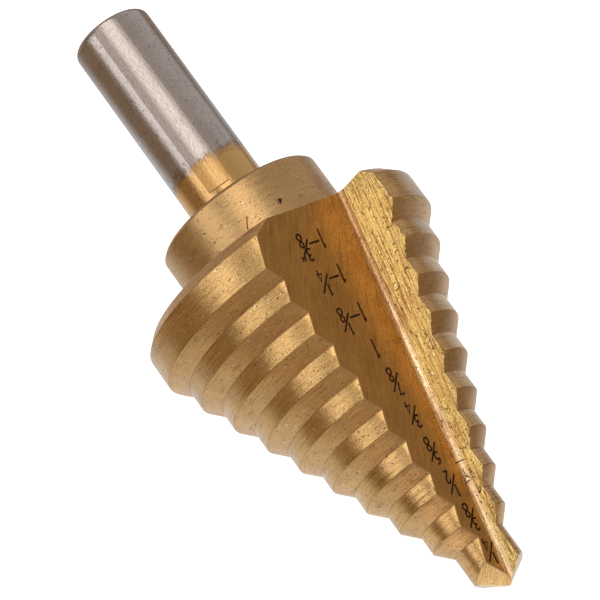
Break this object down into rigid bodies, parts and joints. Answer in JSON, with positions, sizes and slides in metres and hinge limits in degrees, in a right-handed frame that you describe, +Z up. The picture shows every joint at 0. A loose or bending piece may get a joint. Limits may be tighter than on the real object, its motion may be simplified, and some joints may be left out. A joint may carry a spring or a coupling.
{
  "type": "step drill",
  "caption": "Step drill with inch-size steps, V flutes, a round collar and a flatted shank, in gold-coated tool steel.",
  "frame": {"origin": "middle of the bounding box in plan, on the surface that the drill lies on", "axes": "+Z up; +X is the drill's axis seen from above, from the shank to the point; +Y completes a right-handed frame"},
  "size_m": [0.0744, 0.0348, 0.0307],
  "materials": {
    "coated_steel": "gold nitride coating over ground tool steel, with the shank left as bare satin steel"
  },
  "bodies": {
    "root": {"step_drill": "coated_steel"}
  },
  "joints": []
}
